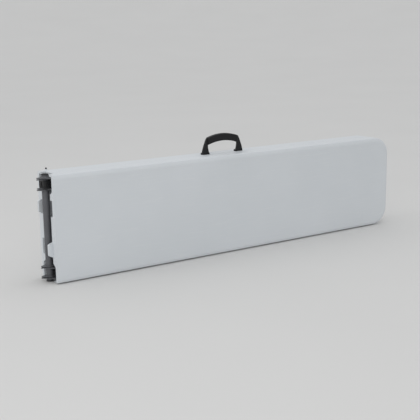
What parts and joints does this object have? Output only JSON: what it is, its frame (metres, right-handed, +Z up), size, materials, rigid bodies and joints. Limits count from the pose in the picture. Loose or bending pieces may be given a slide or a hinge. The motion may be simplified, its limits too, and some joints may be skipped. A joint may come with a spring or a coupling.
{
  "type": "folding table",
  "caption": "Long narrow table, folded in half and standing on its long edge, with a centre hinge tube, splayed folding legs and a carry handle.",
  "frame": {"origin": "middle of the folded table's footprint, on the surface that it stands on", "axes": "+Z up, +X from the seam with the hinge tube to the rounded outer ends, +Y from the front half to the rear half, which carries the handle"},
  "size_m": [1.243, 0.0976, 0.3543],
  "materials": {
    "grey_plastic": "light grey blow-moulded polyethylene with a fine grain",
    "black_plastic": "black moulded plastic, lightly textured",
    "rubber": "black rubber",
    "grey_steel": "dark grey powder coat",
    "zinc": "bright zinc plating"
  },
  "bodies": {
    "rear_half": {"rear_panel": "grey_plastic", "rear_lower_rail": "grey_steel", "rear_lower_rail_plug": "black_plastic", "rear_lower_hinge_bracket": "grey_steel", "rear_lower_bracket_rivet_1": "zinc", "rear_lower_bracket_rivet_2": "zinc", "rear_lower_brace_bolt": "zinc", "rear_upper_rail": "grey_steel", "rear_upper_rail_plug": "black_plastic", "rear_upper_hinge_bracket": "grey_steel", "rear_upper_bracket_rivet_1": "zinc", "rear_upper_bracket_rivet_2": "zinc", "rear_upper_brace_bolt": "zinc", "rear_cross_rail": "grey_steel", "hinge_tube": "grey_steel", "hinge_tube_lower_cap": "black_plastic", "hinge_tube_upper_cap": "black_plastic", "hinge_block": "black_plastic", "carry_handle": "black_plastic", "handle_screw_1": "zinc", "handle_screw_2": "zinc", "rear_edge_screw": "black_plastic"},
    "rear_leg": {"rear_lower_leg_upright": "grey_steel", "rear_lower_foot_shoe": "rubber", "rear_upper_leg_upright": "grey_steel", "rear_upper_foot_shoe": "rubber", "rear_leg_pivot_tube": "grey_steel", "rear_leg_foot_tube": "grey_steel"},
    "rear_brace": {"rear_lower_brace_arm": "grey_steel", "rear_upper_brace_arm": "grey_steel"},
    "rear_sleeves": {"rear_lower_brace_sleeve": "black_plastic", "rear_upper_brace_sleeve": "black_plastic"},
    "rear_lock": {"rear_lock_knob": "black_plastic"},
    "front_half": {"front_panel": "grey_plastic", "front_lower_rail": "grey_steel", "front_lower_rail_plug": "black_plastic", "front_lower_hinge_bracket": "grey_steel", "front_lower_bracket_rivet_1": "zinc", "front_lower_bracket_rivet_2": "zinc", "front_lower_brace_bolt": "zinc", "front_upper_rail": "grey_steel", "front_upper_rail_plug": "black_plastic", "front_upper_hinge_bracket": "grey_steel", "front_upper_bracket_rivet_1": "zinc", "front_upper_bracket_rivet_2": "zinc", "front_upper_brace_bolt": "zinc", "front_cross_rail": "grey_steel"},
    "front_leg": {"front_lower_leg_upright": "grey_steel", "front_lower_foot_shoe": "rubber", "front_upper_leg_upright": "grey_steel", "front_upper_foot_shoe": "rubber", "front_leg_pivot_tube": "grey_steel", "front_leg_foot_tube": "grey_steel"},
    "front_brace": {"front_lower_brace_arm": "grey_steel", "front_upper_brace_arm": "grey_steel"},
    "front_sleeves": {"front_lower_brace_sleeve": "black_plastic", "front_upper_brace_sleeve": "black_plastic"},
    "front_lock": {"front_lock_knob": "black_plastic"}
  },
  "joints": [
    {"name": "centre_fold", "type": "hinge", "parent": "rear_half", "child": "front_half", "pos_m": [-0.5975, 0, 0], "axis": [0, 0, -1], "range_deg": [0, 180]},
    {"name": "rear_leg_pivot", "type": "hinge", "parent": "rear_half", "child": "rear_leg", "pos_m": [0.15448, 0.013, 0], "axis": [0, 0, -1], "range_deg": [0, 70]},
    {"name": "rear_brace_pivot", "type": "hinge", "parent": "rear_half", "child": "rear_brace", "pos_m": [0.32648, 0.013, 0], "axis": [0, 0, -1], "range_deg": [0, 140]},
    {"name": "rear_sleeve_pivot", "type": "hinge", "parent": "rear_brace", "child": "rear_sleeves", "pos_m": [0.49848, 0.013, 0], "axis": [0, 0, 1], "range_deg": [0, 70]},
    {"name": "rear_lock_pull", "type": "slide", "parent": "rear_sleeves", "child": "rear_lock", "axis": [0, 0, -1], "range_m": [0, 0.005], "stiffness_N_per_m": 600, "springref_m": -0.003},
    {"name": "front_leg_pivot", "type": "hinge", "parent": "front_half", "child": "front_leg", "pos_m": [0.15448, -0.013, 0], "axis": [0, 0, 1], "range_deg": [0, 70]},
    {"name": "front_brace_pivot", "type": "hinge", "parent": "front_half", "child": "front_brace", "pos_m": [0.32648, -0.013, 0], "axis": [0, 0, 1], "range_deg": [0, 140]},
    {"name": "front_sleeve_pivot", "type": "hinge", "parent": "front_brace", "child": "front_sleeves", "pos_m": [0.49848, -0.013, 0], "axis": [0, 0, -1], "range_deg": [0, 70]},
    {"name": "front_lock_pull", "type": "slide", "parent": "front_sleeves", "child": "front_lock", "axis": [0, 0, -1], "range_m": [0, 0.005], "stiffness_N_per_m": 600, "springref_m": -0.003}
  ],
  "couplings": [
    {"joint": "rear_leg_pivot", "follows": "centre_fold", "ratio": 0.38889},
    {"joint": "rear_brace_pivot", "follows": "centre_fold", "ratio": 0.77778},
    {"joint": "rear_sleeve_pivot", "follows": "centre_fold", "ratio": 0.38889},
    {"joint": "front_leg_pivot", "follows": "centre_fold", "ratio": 0.38889},
    {"joint": "front_brace_pivot", "follows": "centre_fold", "ratio": 0.77778},
    {"joint": "front_sleeve_pivot", "follows": "centre_fold", "ratio": 0.38889}
  ]
}
